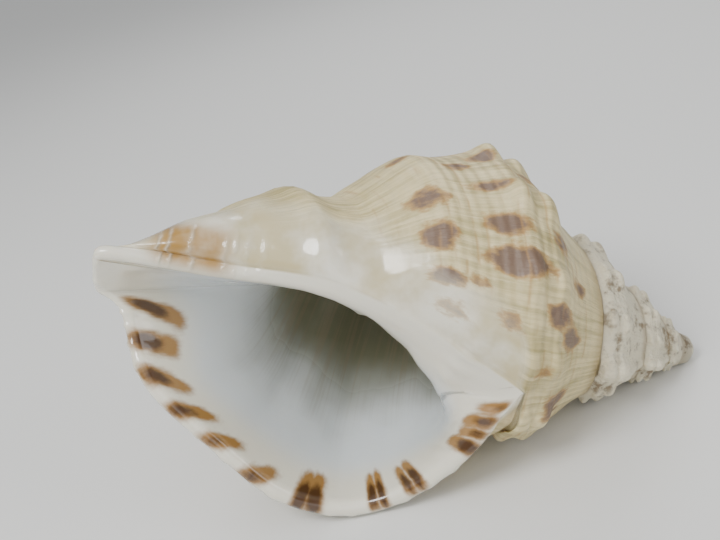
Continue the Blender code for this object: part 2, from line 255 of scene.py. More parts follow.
def ringPlaces(counts):
    form = mouthForm
    parts = [(0, form["whorlEnd"], counts["whorlRows"]),
             (form["whorlEnd"], form["lipEnd"], counts["baseRows"]),
             (form["lipEnd"], form["canalEnd"], counts["columns"]),
             (form["canalEnd"], form["ringCount"], counts["baseRows"])]
    return np.concatenate([np.linspace(a, b, n, endpoint=False) for a, b, n in parts])


def throughRing(values, place):
    # A closed curve through values kept at whole places
    knots = np.concatenate([values, values[:1]])
    return smoothThrough(list(zip(range(len(knots)), knots)), place)


def edgeRings(counts):
    form = mouthForm
    whole = np.arange(form["ringCount"])
    knots = np.array(form["edge"], float)
    crest = np.stack([smoothThrough(knots[:, [0, axis]], whole) for axis in (1, 2, 3)], -1)
    for _ in range(form["edgeRounds"]):
        crest[1:] += 0.25 * (np.roll(crest, 1, 0) + np.roll(crest, -1, 0) - 2 * crest)[1:]
    place = ringPlaces(counts)
    crest = np.stack([throughRing(crest[:, axis], place) for axis in range(3)], -1)
    style = np.array(form["rounding"], float)
    radius, crestAngle, outside, inside, canalShare = [
        smoothThrough(style[:, [0, column]], place) for column in range(1, 6)]
    along = unit(np.roll(crest, -1, 0) - np.roll(crest, 1, 0))
    facing = np.outer(1 - canalShare, unit(np.array(form["facing"])))
    facing += np.outer(canalShare, unit(np.array(form["canalFacing"])))
    outward = unit(np.cross(along, facing))
    forward = unit(np.cross(outward, along))

    def onEdge(angle):
        angle = np.radians(angle)
        across = np.cos(angle)[:, None] * outward + np.sin(angle)[:, None] * forward
        return radius[:, None] * across

    middle = crest - onEdge(crestAngle)
    toCorner = np.array(form["corner"]) - (middle + onEdge(inside))[0]
    fromTip = np.minimum(place, form["ringCount"] - place)
    nearTip = np.exp(-(fromTip / form["cornerSpread"]) ** 2)
    rings = []
    for row in range(counts["rimRows"] + 1):
        share = row / counts["rimRows"]
        ring = middle + onEdge(outside + (inside - outside) * share)
        rings.append(ring + share ** form["cornerPower"] * nearTip[:, None] * toCorner)
    return rings


def whorlGrid(edge, counts):
    perTurn, rows = counts["columns"], counts["whorlRows"]
    columns = int(round(counts["spireTurns"] * perTurn)) + perTurn
    lastTurn = columns - perTurn
    shares = smoothThrough(whorlShares, np.linspace(0, plainCounts["whorlRows"], rows + 1))
    lipAngle = turnOf(edge[:rows + 1])
    lipAngle[0] = growthForm["tipAngle"]
    turned = (np.arange(columns + 1) - lastTurn) / perTurn
    angle = np.where(turned[:, None] > 0, firstAngle + np.outer(turned, lipAngle - firstAngle),
                     (firstAngle + 360 * turned)[:, None] + 0 * lipAngle)
    height = growthForm["sutureHeight"] + (sutureLine(angle) - growthForm["sutureHeight"]) * shares
    points = around(whorlRadius(angle, height), angle, growth(angle) * height)
    joined = 1 - ramp(shares, 0, growthForm["whorlJoin"])
    for c in range(perTurn, columns + 1):
        points[c] += joined[:, None] * (points[c - perTurn, -1] - points[c, 0])
    share = fading(1 - turned[lastTurn:], 360, growthForm["lipFlare"])
    points[lastTurn:] += share[:, None, None] * (edge[:rows + 1] - points[-1])
    for c in range(lastTurn, columns + 1):
        points[c - perTurn, -1] = points[c, 0]
    return points, angle, height


def baseGrid(edge, suture, counts):
    perTurn, rows, first = counts["columns"], counts["baseRows"], counts["whorlRows"]
    turned = np.arange(perTurn + 1) / perTurn
    share = np.linspace(0, 1, rows + 1)
    lip = edge[first:first + rows + 1]
    lipAngle = turnOf(lip)
    lipAngle[-1] = 0
    innerAngle = firstAngle + (growthForm["columellaAngle"] - firstAngle) * share
    angle = innerAngle + np.outer(turned, lipAngle - innerAngle)
    canalRing = edge[first + rows + perTurn - np.arange(perTurn + 1)]
    height = suture[:, 2:] + (canalRing[:, 2:] - suture[:, 2:]) * share
    canal = smoothThrough(canalForm["outline"], height)
    toward = 0.5 + 0.5 * np.cos(np.radians(angle - canalForm["bulgeAngle"]))
    canal *= 1 + canalForm["bulge"] * toward ** 2
    level = height / growth(angle)
    radius = smoothMax(whorlRadius(angle, level), canal, canalForm["blend"])
    points = around(radius, angle, height)
    atWhorl = 1 - ramp(share, 0, growthForm["baseJoin"])
    points += atWhorl[None, :, None] * (suture - points[:, 0])[:, None]
    atCanal = ramp(share, growthForm["canalJoin"], 1)
    points += atCanal[None, :, None] * (canalRing - points[:, -1])[:, None]
    atNeck = ramp(share, 0, growthForm["neckJoin"])
    lipShare = np.outer(fading(1 - turned, 360, growthForm["lipFlare"]), 1 - atNeck)
    lipShare += np.outer(fading(1 - turned, 360, growthForm["neckFlare"]), atNeck)
    points += lipShare[:, :, None] * (lip - points[-1])
    inner = np.concatenate([edge[:1], edge[:first + rows + perTurn - 1:-1]])
    innerShare = fading(turned, -growthForm["columellaAngle"], growthForm["columellaFlare"])
    points += innerShare[:, None, None] * (inner - points[0])
    points[:, 0] = suture
    return points, angle, level


def hollowRings(mouth, counts):
    form = hollowForm
    place = ringPlaces(counts)
    outline = np.array(form["outline"], float)
    distance = smoothThrough(outline[:, [0, 1]], place)
    height = smoothThrough(outline[:, [0, 2]], place)

    def ringAt(angle, widen=0, lower=0):
        narrowed = form["narrowing"] * ramp(-angle, form["narrowFrom"], form["narrowTo"])
        reach = distance + (form["middle"][0] - distance) * narrowed
        depth = height + (form["middle"][1] - height) * narrowed
        radius = growth(angle) * lean(angle) * reach + widen
        turn = np.radians(angle)
        return np.stack([radius * np.cos(turn), -radius * np.sin(turn),
                         growth(angle) * depth + lower], -1)

    turning = smoothThrough(form["turningShare"], place)[:, None]
    mouthAngle = np.where(turning[:, 0] > form["turnsFrom"], turnOf(mouth), 0)
    widen = np.hypot(mouth[:, 0], mouth[:, 1]) - growth(mouthAngle) * lean(mouthAngle) * distance
    lower = mouth[:, 2] - growth(mouthAngle) * height
    last = np.exp(-(mouthAngle - form["start"]) / form["flare"])
    rings = []
    knots = list(enumerate(form["steps"]))
    stepCount = (len(knots) - 1) * counts["mouthSteps"]
    for step in smoothThrough(knots, np.linspace(0, len(knots) - 1, stepCount + 1)):
        angle = mouthAngle + (form["start"] - mouthAngle) * step
        share = (np.exp(-(mouthAngle - angle) / form["flare"]) - last) / (1 - last)
        turned = ringAt(angle, widen * share, lower * share)
        straight = mouth * (1 - step) + ringAt(form["start"] + 0 * angle) * step
        rings.append(turning * turned + (1 - turning) * straight)
    rings[0] = mouth
    turnRows = form["turnRows"] * counts["turnSteps"]
    for row in range(1, turnRows + 1):
        angle = form["start"] + (form["end"] - form["start"]) * row / turnRows
        rings.append(ringAt(angle + 0 * mouthAngle))
    return rings


def settle(rings):
    form = mouthForm
    grid = np.array(rings)
    place = np.arange(form["ringCount"])
    row = np.arange(len(grid))[:, None]
    near, reach = form["settleFrom"], form["settleReach"]
    onLip = (1 - ramp(place, near, reach)) * ramp(row, *form["settleLip"])
    onWhorl = 1 - ramp(form["ringCount"] - place, near, form["whorlReach"])
    onNotch = 1 - ramp(abs(place - form["canalNotch"]), near, reach)
    onNotch = onNotch * ramp(row, *form["settleNotch"])
    share = np.maximum(onLip + onNotch, onWhorl) * (1 - ramp(row, *form["settleEnd"]))
    share = share[:, :, None]
    for _ in range(form["settleRounds"]):
        beside = (np.roll(grid, 1, 1) + np.roll(grid, -1, 1))[1:-1] + grid[2:] + grid[:-2]
        grid[1:-1] += (beside / 4 - grid[1:-1]) * share[1:-1]
    return grid


def rowPlaces(counts):
    # Where each row of the inside lies among the plain shape's rows
    rim = np.linspace(0, plainCounts["rimRows"], counts["rimRows"] + 1)
    steps = len(hollowForm["steps"]) - 1
    mouth = np.linspace(0, steps, steps * counts["mouthSteps"] + 1)[1:]
    turns = np.linspace(0, hollowForm["turnRows"], hollowForm["turnRows"] * counts["turnSteps"] + 1)
    return np.concatenate([rim, rim[-1] + mouth, rim[-1] + mouth[-1] + turns[1:]])


def insideGrid(counts):
    # The fine rings get the evening-out that the plain ones get near the tip and the notch
    plain = edgeRings(plainCounts)
    plain = np.array(plain + hollowRings(plain[-1], plainCounts)[1:])
    moved = settle(plain) - plain
    fine = edgeRings(counts)
    fine = np.array(fine + hollowRings(fine[-1], counts)[1:])
    row, place = rowPlaces(counts), ringPlaces(counts)
    low = np.clip(row.astype(int), 0, len(plain) - 2)
    part = (row - low)[:, None, None]
    byRow = moved[low] * (1 - part) + moved[low + 1] * part
    left = place.astype(int)
    part = (place - left)[None, :, None]
    part = part * part * (3 - 2 * part)
    right = (left + 1) % mouthForm["ringCount"]
    return fine + byRow[:, left] * (1 - part) + byRow[:, right] * part, row, place


class ShellMesh:
    # Points and faces, and what is known of each point: growth angle, level on the whorl,
    # place on the ring of the mouth, distance from the mouth's edge (above 0 inside), 1 if inside
    def __init__(self):
        self.points = []
        self.facts = []
        self.faces = []

    def add(self, point, facts):
        self.points.append(point)
        self.facts.append(facts)
        return len(self.points) - 1

    def quad(self, corners):
        kept = [v for k, v in enumerate(corners) if v != corners[k - 1]]
        if len(kept) > 2:
            self.faces.append(kept)

    def grid(self, rows):
        for low, high in zip(rows, rows[1:]):
            for k in range(len(low) - 1):
                self.quad([low[k], high[k], high[k + 1], low[k + 1]])

    def tunnel(self, loop, rings, facts):
        for ring, ringFacts in zip(rings, facts):
            new = [self.add(point, fact) for point, fact in zip(ring, ringFacts)]
            for k in range(len(loop)):
                after = (k + 1) % len(loop)
                self.quad([loop[k], new[k], new[after], loop[after]])
            loop = new
        return loop

    def fan(self, loop, middle, facts):
        centre = self.add(middle, facts)
        for k, v in enumerate(loop):
            self.faces.append([v, centre, loop[(k + 1) % len(loop)]])


# Distances that stand for all that is far outside the mouth and for the hollow's end
farFromMouth = 200.0
hollowDepth = 400.0


def nearestEdge(grid, edges):
    # For each point of a grid: how far the nearest edge of the mouth is, and its place there
    distance = np.full(grid.shape[:2], farFromMouth)
    place = np.zeros(grid.shape[:2])
    for points, places in edges:
        gap = np.linalg.norm(grid - points, axis=-1)
        nearer = gap < distance
        distance = np.where(nearer, gap, distance)
        place = np.where(nearer, places + 0 * gap, place)
    return np.stack([place, -distance, 0 * place], -1)


def buildShell(counts):
    inside, row, place = insideGrid(counts)
    edge = inside[0]
    whorls, angle, level = whorlGrid(edge, counts)
    perTurn, rows, baseRows = counts["columns"], counts["whorlRows"], counts["baseRows"]
    lastTurn = len(whorls) - 1 - perTurn
    base, baseAngle, baseLevel = baseGrid(edge, whorls[lastTurn:, -1], counts)
    ringCount, canalEnd = mouthForm["ringCount"], mouthForm["canalEnd"]

    whorlFacts = nearestEdge(whorls, [(whorls[-1], place[None, :rows + 1])])
    whorlFacts[:lastTurn + perTurn // 2, :, 1] = -farFromMouth
    whorlFacts = np.concatenate([np.stack([angle, level], -1), whorlFacts], -1)
    columns = np.arange(perTurn + 1)[:, None] / perTurn
    baseFacts = nearestEdge(base, [
        (base[-1], place[None, rows:rows + baseRows + 1]),
        (base[0], ringCount - (ringCount - canalEnd) * np.linspace(0, 1, baseRows + 1)[None]),
        (base[:, -1:], canalEnd - (canalEnd - mouthForm["lipEnd"]) * columns)])
    baseFacts = np.concatenate([np.stack([baseAngle, baseLevel], -1), baseFacts], -1)

    shell = ShellMesh()
    whorlIds = []
    for c, column in enumerate(whorls):
        first = 1 if c >= perTurn else 0
        ids = [whorlIds[c - perTurn][-1]] if first else []
        ids += [shell.add(point, whorlFacts[c, k + first])
                for k, point in enumerate(column[first:])]
        whorlIds.append(ids)
    shell.grid(whorlIds)
    baseIds = [[whorlIds[lastTurn + c][-1]] +
               [shell.add(point, baseFacts[c, k + 1]) for k, point in enumerate(column[1:])]
               for c, column in enumerate(base)]
    shell.grid(baseIds)

    loop = whorlIds[-1][:-1] + baseIds[-1][:-1] + [ids[-1] for ids in baseIds[:0:-1]]
    loop += baseIds[0][:0:-1]
    step = np.linalg.norm(np.diff(inside, axis=0), axis=-1)
    depth = np.concatenate([np.zeros((1, len(loop))), np.cumsum(step, 0)])
    facts = [[(0.0, 0.0, p, d, 1.0) for p, d in zip(place, ring)] for ring in depth]
    last = shell.tunnel(loop, inside[1:], facts[1:])
    shell.fan(last, np.mean([shell.points[v] for v in last], 0), (0.0, 0.0, 0.0, hollowDepth, 1.0))

    crown = [whorlIds[0][k] for k in range(rows, 0, -1)][1:]
    crown += [ids[0] for ids in whorlIds[:perTurn + 1]]
    top = np.mean([shell.points[v] for v in crown], 0)
    top[2] = growthForm["apexTop"]
    rim = np.array([shell.points[v] for v in crown])
    dome = [top + (rim - top) * (part, part, 1 - math.sqrt(1 - part ** 2))
            for part in growthForm["apexDome"]]
    tip = (angle[0, 0], growthForm["varixMiddle"], 0.0, -farFromMouth, 0.0)
    crown = shell.tunnel(crown, dome, [[tip] * len(crown)] * len(dome))
    shell.fan(crown, top, tip)
    return np.array(shell.points), np.array(shell.facts, float), shell.faces


def stand(points):
    up = -Vector(standing["down"]).normalized()
    spireWay = Vector((0, 0, 1)) - up * up.z
    spireWay.normalize()
    turn = np.array(Matrix((spireWay, up.cross(spireWay), up)))
    return (points * (1, 1, -1)) @ turn.T + np.array(standing["offset"])


def outwardNormals(points, faces):
    # Newell's rule for each face, summed at its corners
    total = np.zeros_like(points)
    for size in (3, 4):
        group = np.array([face for face in faces if len(face) == size])
        if not len(group):
            continue
        corner = points[group]
        normal = np.cross(corner[:, 1] - corner[:, 0], corner[:, 2] - corner[:, 0])
        if size == 4:
            normal += np.cross(corner[:, 2] - corner[:, 0], corner[:, 3] - corner[:, 0])
        for k in range(size):
            np.add.at(total, group[:, k], normal)
    return total / np.maximum(np.linalg.norm(total, axis=1, keepdims=True), 1e-9)


def cloudy(points, size, depth=3):
    # Smooth noise from -1 to 1 whose lumps are about size millimetres across
    return np.array([noise.fractal(Vector(point / size), 1.0, 2.0, depth) for point in points])


def within(value, low, high, soft):
    return ramp(value, low - soft, low + soft) * (1 - ramp(value, high - soft, high + soft))


def scatter(*numbers):
    # An even spread from 0 to 1 that is the same each run; the factors only have to be uneven
    value = np.sin(sum(number * factor for number, factor in zip(numbers, (12.9898, 78.233))))
    return value * 43758.5453 % 1


# Colours in the shell's growth. Flames run down the whorl and pale cords break them into patches
flameForm = {
    "pitch": 19.5,
    "start": -188.0,
    "slant": -0.2,
    "slantLevel": 122.0,
    # how wide a flame is, how even its patches are, how sharp the sides of a patch
    "wave": (-0.45, 0.85),
    "luck": (0.55, 0.65),
    "strongest": 1.15,
    "sharpness": 1.3,
    # level of each row of patches, half its width, how strong it is
    "rows": [(93.0, 5.0, 0.85), (103.0, 3.0, 0.3), (119.5, 4.6, 0.95), (131.0, 4.6, 1.0),
             (146.0, 6.0, 1.0), (163.0, 4.5, 0.75), (178.0, 4.5, 0.6), (192.0, 4.0, 0.5)],
    # The front of the last whorl: growth angles between which its patches are set one by one,
    # then growth angle, level, half height along the turn, half width down the whorl, strength
    "front": (-296.0, -158.0),
    "frontSoft": 5.0,
    "patches": [
        (-193, 148, 7.0, 9.0, 0.8), (-213, 146, 8.0, 7.0, 1.0), (-233, 145, 5.5, 8.0, 1.15),
        (-248, 142, 6.5, 7.5, 1.25), (-187, 123, 3.6, 9.5, 0.85), (-172, 131, 4.0, 6.0, 0.8),
        (-166, 119, 5.0, 6.0, 1.0), (-205, 121, 5.5, 10.0, 0.95), (-220, 118, 6.2, 13.0, 1.2),
        (-206, 97, 6.0, 5.5, 0.68), (-220, 87, 5.0, 5.0, 0.72), (-231, 132, 3.2, 3.6, 0.7),
        (-244, 124, 6.5, 7.0, 0.7), (-237, 101, 6.0, 8.0, 0.9), (-246, 93, 6.5, 6.5, 1.0),
        (-284, 95, 8.0, 8.0, 1.0), (-176, 103, 4.5, 6.0, 0.65), (-262, 108, 6.0, 6.0, 0.5)],
}
# Dark marks inside the lip: place where each starts and ends, depth where it does, half width
lipMarks = [
    (28.7, 26.4, 8.0, 25.0, 1.0), (24.7, 24.3, 6.0, 22.0, 0.85), (22.5, 21.5, 7.0, 21.0, 0.62),
    (20.4, 19.5, 7.0, 19.0, 0.56), (18.6, 17.7, 7.0, 17.0, 0.5), (16.5, 15.5, 6.0, 17.0, 0.56),
    (13.6, 13.5, 5.0, 24.0, 0.42), (12.8, 12.9, 5.0, 24.0, 0.42), (9.62, 9.5, 7.0, 24.0, 0.27),
    (9.0, 9.0, 6.0, 25.0, 0.27), (7.55, 7.5, 7.0, 23.0, 0.27), (7.0, 6.9, 6.0, 24.0, 0.3),
    (3.9, 3.6, 3.0, 18.0, 0.5), (2.85, 2.8, 4.0, 15.0, 0.4), (1.95, 1.9, 3.0, 15.0, 0.45),
    (0.95, 0.9, 3.0, 12.0, 0.4)]
markForm = {"lastPart": 5.0, "darkSoft": 5.0, "fringeStart": 1.0, "fringeWidth": 1.2,
            "fringeSoft": 4.0}
# Where each finish lies. Pairs are where it starts and where it is full, or its two ends
finishPlaces = {
    "mottleSize": 14.0,
    # columella and wall, in places on the mouth's ring
    "inner": (52.0, 71.0),
    "innerSoft": 1.5,
    "callus": (12.0, 24.0),
    "callusRagged": 5.0,
    "stain": (55.6, 57.9),
    "stainSoft": 0.5,
    "stainDepth": (-10.0, 3.5),
    "stainDepthSoft": 2.5,
    "lipBack": (2.0, 8.0),
    "lipBackGloss": 0.7,
    # the spire's wear, in growth angles
    "worn": (300.0, 400.0),
    "wornRagged": 30.0,
    # the canal's neck has no patches between these levels, apart from the last part of the whorl
    "neckLevel": (150.0, 158.0),
    "neckTurn": (-150.0, -115.0),
    "fullKnob": 4.0,
    "milk": (18.0, 34.0),
    # painted shade at the back of the hollow, by distance in from the mouth's edge
    "shadedDeep": (40.0, 84.0),
    "deepRagged": 6.0,
    # grooves darkened with painted shade: below the suture, and on the shoulder of the earlier
    # whorls
    "sutureGroove": (1.5, 3.0),
    "shoulderGroove": (121.0, 2.0),
    "grooveTurn": (-300.0, -272.0),
    "cords": (78.0, 166.0),
    "cordsSoft": 5.0,
}
# How much of a finish is left under another one
leftUnder = {"patchOnLip": 0.9, "patchOnCallus": 0.5, "patchOnWear": 0.75, "cordsOnWear": 0.6}


def markInside(place, depth):
    form = markForm
    dark = np.zeros_like(place)
    fringe = np.zeros_like(place)
    for first, last, start, end, half in lipMarks:
        along = np.clip((depth - start) / (end - start), 0, 1)
        across = (place - (first + (last - first) * along)) / half
        here = within(depth, start, end - form["lastPart"], form["darkSoft"])
        dark = np.maximum(dark, bell(across, 0, 1.0) * here)
        here = within(depth, start - form["fringeStart"], end, form["fringeSoft"])
        fringe = np.maximum(fringe, bell(across, 0, form["fringeWidth"]) * here)
    return dark, fringe


def flames(turn, level):
    form = flameForm
    run = (turn - form["start"] - form["slant"] * (level - form["slantLevel"])) / form["pitch"]
    wave = ramp(np.cos(2 * math.pi * run), *form["wave"])
    least, more = form["luck"]
    patch = np.zeros_like(turn)
    for index, (middle, half, strength) in enumerate(form["rows"]):
        luck = least + more * scatter(np.round(run), index + 1.0)
        patch = np.maximum(patch, strength * luck * np.exp(-((level - middle) / half) ** 4))
    first, last = form["front"]
    behind = 1 - within(turn, first, last, form["frontSoft"])
    everywhere = wave * np.clip(patch, 0, form["strongest"]) * behind
    for middle, row, high, wide, strength in form["patches"]:
        far = ((turn - middle) / high) ** 2 + ((level - row) / wide) ** 2
        everywhere = np.maximum(everywhere, strength * np.exp(-far ** form["sharpness"]))
    return everywhere


def shellLook(points, facts):
    # What is painted on the shell, from 0 to 1 for each point
    where, less = finishPlaces, leftUnder
    turn, level, place, depth, inside = facts.T
    outer = 1 - inside
    mottle = cloudy(points, where["mottleSize"])
    onInner = within(place, *where["inner"], where["innerSoft"]) * outer
    callus = onInner * (1 - ramp(-depth + where["callusRagged"] * mottle, *where["callus"]))
    worn = outer * ramp(-turn + where["wornRagged"] * mottle, *where["worn"])
    lipBack = outer * (1 - ramp(-depth, *where["lipBack"])) * (1 - onInner)
    dark, fringe = markInside(place, depth)
    marked = (1 - ramp(level, *where["neckLevel"])) + ramp(turn, *where["neckTurn"])
    patches = outer * flames(turn, level) * np.clip(marked, 0, 1)
    patches = patches * (1 - less["patchOnLip"] * lipBack) * (1 - less["patchOnCallus"] * callus)
    stain = within(place, *where["stain"], where["stainSoft"])
    stain = stain * within(depth, *where["stainDepth"], where["stainDepthSoft"])
    # painted shade in the suture groove and in the shoulder groove
    below, half = where["sutureGroove"]
    grooveShade = bell(level, growthForm["sutureHeight"] + below, half)
    grooveShade += bell(level, *where["shoulderGroove"]) * (1 - ramp(turn, *where["grooveTurn"]))
    cords = outer * within(level, *where["cords"], where["cordsSoft"]) * (1 - callus)
    return {
        "patches": patches * (1 - less["patchOnWear"] * worn),
        "lipDark": inside * dark,
        "lipFringe": inside * fringe,
        "callus": callus,
        "porcelain": np.maximum(callus, np.maximum(inside, where["lipBackGloss"] * lipBack)),
        # painted shade deep in the hollow
        "shadedDeep": inside * ramp(depth + where["deepRagged"] * mottle, *where["shadedDeep"]),
        "blue": inside * ramp(depth, *where["milk"]),
        "worn": worn,
        "stain": stain,
        "knob": np.clip(swellings(turn, level) / where["fullKnob"], -0.3, 1.3) * outer,
        "grooveShade": outer * grooveShade,
        "cords": cords * (1 - less["cordsOnWear"] * worn),
        "rough": outer * (1 - callus),
        "place": place,
        "depth": depth,
    }


# Forms too low for the solid, in millimetres. Pairs are height and size unless they say more
reliefForm = {
    "bumps": (0.3, 6.0),
    "wornKnobs": 0.5,
    "oldLips": (1.2, 7.0),
    # growth angle, level, half sizes, height of the swelling low on the last whorl's shoulder
    "shoulder": (-296.0, 109.0, 13.0, 11.0, 3.0),
    "unevenness": (0.3, 11.0),
    # the lip between these places and depths
    "lipPlaces": (0.4, 28.0),
    "lipDepths": (-6.0, 16.0),
    "lipLumps": (0.35, 7.0),
    "markHollow": 0.5,
    "scallops": (0.4, 1.35),
    "crest": (3.0, 5.0),
    "teethPlaces": (0.8, 6.0),
    "teethDepths": (6.0, 20.0),
    "teeth": (0.4, 1.2),
    "placeSoft": 0.6,
    "depthSoft": 5.0,
    # the ridge on the wall near the mouth's upper corner, through these points
    "ridge": (1.5, 3.4),
    "ridgePoints": [(-12.6, -34, 92.3), (-8.6, -33.8, 93.3), (-4.6, -33.4, 94.2),
                    (1.5, -31, 94.8), (7.3, -27.2, 95.3)],
}


def relief(points, facts, look):
    # How far each point stands out or lies back
    form = reliefForm
    turn, level, place, depth, inside = facts.T
    outer = 1 - inside
    worn = look["worn"]
    height, size = form["bumps"]
    lift = worn * height * cloudy(points, size, 4)
    lift += worn * form["wornKnobs"] * np.clip(look["knob"], 0, 1)
    height, size = form["oldLips"]
    for oldLip, _ in growthForm["varices"]:
        lift += worn * height * bell(turn, oldLip, size)
    middle, row, high, wide, height = form["shoulder"]
    lift += outer * height * bell(turn, middle, high) * bell(level, row, wide)
    height, size = form["unevenness"]
    lift += height * outer * (1 - look["callus"]) * cloudy(points * (1, 1, 0.5), size)

    onLip = within(place, *form["lipPlaces"], form["placeSoft"])
    onLip = onLip * within(depth, *form["lipDepths"], form["depthSoft"])
    height, size = form["lipLumps"]
    lift += onLip * (height * cloudy(points, size, 2) - form["markHollow"] * look["lipDark"])
    height, pitch = form["scallops"]
    lift += onLip * height * np.cos(2 * math.pi * place / pitch) * bell(depth, *form["crest"])
    onTeeth = within(place, *form["teethPlaces"], form["placeSoft"])
    onTeeth = onTeeth * within(depth, *form["teethDepths"], form["depthSoft"])
    height, pitch = form["teeth"]
    lift += inside * onTeeth * height * np.cos(2 * math.pi * place / pitch)

    height, size = form["ridge"]
    for spot in form["ridgePoints"]:
        gap = np.linalg.norm(points - np.array(spot), axis=1)
        lift = np.maximum(lift, height * bell(gap, 0, size))
    return lift


points, facts, faces = buildShell(fineCounts)
print("shell points", len(points), "faces", len(faces))
look = shellLook(points, facts)
placed = stand(points)
placed += outwardNormals(placed, faces) * relief(points, facts, look)[:, None]
placed[:, 2] = np.maximum(placed[:, 2], 0)
print("surface detail added")

mesh = bpy.data.meshes.new("shellSurface")
mesh.from_pydata((placed / 1000).tolist(), [], faces)
for name, values in look.items():
    mesh.attributes.new(name, "FLOAT", "POINT").data.foreach_set("value", values)
# The grain follows the growth outside and the way in inside, both about in millimetres
grainForm = {"meanRadius": 50.0, "placeLength": 6.5, "insideOffset": 40.0}
still = 0 * facts[:, 0]
grow = np.stack([np.radians(facts[:, 0]) * grainForm["meanRadius"], facts[:, 1], still], -1)
inward = np.stack([facts[:, 2] * grainForm["placeLength"], facts[:, 3],
                   grainForm["insideOffset"] + still], -1)
grow = np.where(facts[:, 4:] > 0.5, inward, grow)
mesh.attributes.new("grow", "FLOAT_VECTOR", "POINT").data.foreach_set("vector", grow.ravel())
shell = bpy.data.objects.new("shellSurface", mesh)
bpy.context.scene.collection.objects.link(shell)
mesh.shade_smooth()
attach(shell, "root")
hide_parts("shell")


class Recipe:
    # Short ways to add shader nodes to one material
    def __init__(self, name):
        self.material = bpy.data.materials.new(name)
        self.material.use_nodes = True
        self.tree = self.material.node_tree
        self.shader = self.tree.nodes["Principled BSDF"]

    def node(self, kind, **settings):
        made = self.tree.nodes.new(kind)
        for key, value in settings.items():
            setattr(made, key, value)
        return made

    def feed(self, socket, value):
        if hasattr(value, "is_linked"):
            self.tree.links.new(value, socket)
        else:
            socket.default_value = value

    def fact(self, name):
        return self.node("ShaderNodeAttribute", attribute_name=name).outputs["Fac"]

    def vector(self, name):
        return self.node("ShaderNodeAttribute", attribute_name=name).outputs["Vector"]

    def math(self, operation, first, second=0.0, clamp=False):
        made = self.node("ShaderNodeMath", operation=operation, use_clamp=clamp)
        self.feed(made.inputs[0], first)
        self.feed(made.inputs[1], second)
        return made.outputs[0]

    def times(self, first, second):
        return self.math("MULTIPLY", first, second)

    def plus(self, first, second):
        return self.math("ADD", first, second)

    def span(self, value, low, high):
        # 0 up to low, 1 from high on, smooth between them
        made = self.node("ShaderNodeMapRange", interpolation_type="SMOOTHSTEP")
        for socket, number in zip(made.inputs, (value, low, high)):
            self.feed(socket, number)
        return made.outputs["Result"]

    def blend(self, share, first, second):
        # The colour sockets of this node are its inputs 6 and 7 and its output 2
        made = self.node("ShaderNodeMix", data_type="RGBA")
        self.feed(made.inputs[0], share)
        self.feed(made.inputs[6], first)
        self.feed(made.inputs[7], second)
        return made.outputs[2]

    def stretched(self, vector, scale):
        made = self.node("ShaderNodeMapping")
        self.feed(made.inputs["Vector"], vector)
        made.inputs["Scale"].default_value = scale
        return made.outputs["Vector"]

    def grain(self, vector, scale, detail=3.0, roughness=0.55, distortion=0.0):
        made = self.node("ShaderNodeTexNoise")
        self.feed(made.inputs["Vector"], vector)
        made.inputs["Scale"].default_value = scale
        made.inputs["Detail"].default_value = detail
        made.inputs["Roughness"].default_value = roughness
        made.inputs["Distortion"].default_value = distortion
        return made.outputs["Fac"]

    def hill(self, value, middle, halfWidth):
        away = self.math("DIVIDE", self.math("SUBTRACT", value, middle), halfWidth)
        return self.math("EXPONENT", self.times(self.times(away, away), -1.0))


shellFinish = {
    "cream": (0.83, 0.71, 0.40, 1),
    "olive": (0.46, 0.38, 0.16, 1),
    "chalk": (0.84, 0.785, 0.63, 1),
    "grime": (0.29, 0.225, 0.145, 1),
    "flameCore": (0.17, 0.11, 0.085, 1),
    "flameEdge": (0.46, 0.25, 0.07, 1),
    "porcelain": (0.86, 0.82, 0.69, 1),
    "callusTint": (0.56, 0.46, 0.21, 1),
    "milk": (0.78, 0.82, 0.83, 1),
    # painted shade for the back of the hollow
    "cavityShade": (0.19, 0.185, 0.11, 1),
    "lipDark": (0.060, 0.026, 0.011, 1),
    "lipFringe": (0.34, 0.165, 0.030, 1),
    "stain": (0.40, 0.20, 0.012, 1),
    # painted shade for the grooves
    "grooveShade": (0.33, 0.21, 0.09, 1),
    # place on the mouth's ring, half width and height of the folds on the columella
    "folds": [(55.8, 0.06, 0.9), (56.1, 0.06, 1.0), (56.75, 0.08, 1.0), (57.8, 0.09, 0.55),
              (58.1, 0.09, 0.6), (58.5, 0.10, 0.5), (59.0, 0.11, 0.35)],
    "foldReach": ((-13.0, -5.0), (7.0, 2.0)),
    "cordPitch": 4.2,
    # Where a mask starts to show and where it is full, and how much of the colour it then gives
    "layers": {"olive": (0.50, 0.86, 1.0), "flameEdge": (0.24, 0.52, 0.85),
               "flameCore": (0.44, 0.78, 0.9), "callusTint": (0.36, 0.64, 0.8),
               "lipFringe": (0.16, 0.74, 0.95), "lipDark": (0.30, 0.82, 0.93)},
    # Thin lines between the cords, wear, dirt, painted shade in the grooves, streaks in the hollow
    # and the columella
    "cordLine": (0.50, 0.62, 0.5),
    "wear": 0.8,
    "dirt": (0.59, 0.76),
    "dirtOnBody": 0.10,
    "dirtOffKnobs": (0.95, 0.7),
    "grooveShadeShare": 0.45,
    "streak": (0.45, 0.62, 0.35),
    "veil": 0.55,
    "ragged": 1.1,
    "markRagged": 0.55,
    "foldBreaks": (0.30, 0.55, 0.45),
    "stainCloud": (0.12, 0.46, 0.9),
    # roughness inside, then what the outside, the wear, the specks and the hollow add
    "roughness": {"inside": 0.13, "outside": 0.24, "worn": 0.36, "speck": 0.12, "shadedDeep": 0.22},
    "coat": 0.5,
    "coatRoughness": 0.06,
    "refraction": 1.52,
    "scatter": {"weight": 0.12, "radius": (1.0, 0.75, 0.5), "scale": 0.003},
    # heights of the fine relief in millimetres
    "relief": {"lines": 0.75, "cords": 0.14, "specks": 0.16, "pits": 1.5, "wornSpecks": 0.7,
               "folds": 0.5, "fine": 0.12},
}


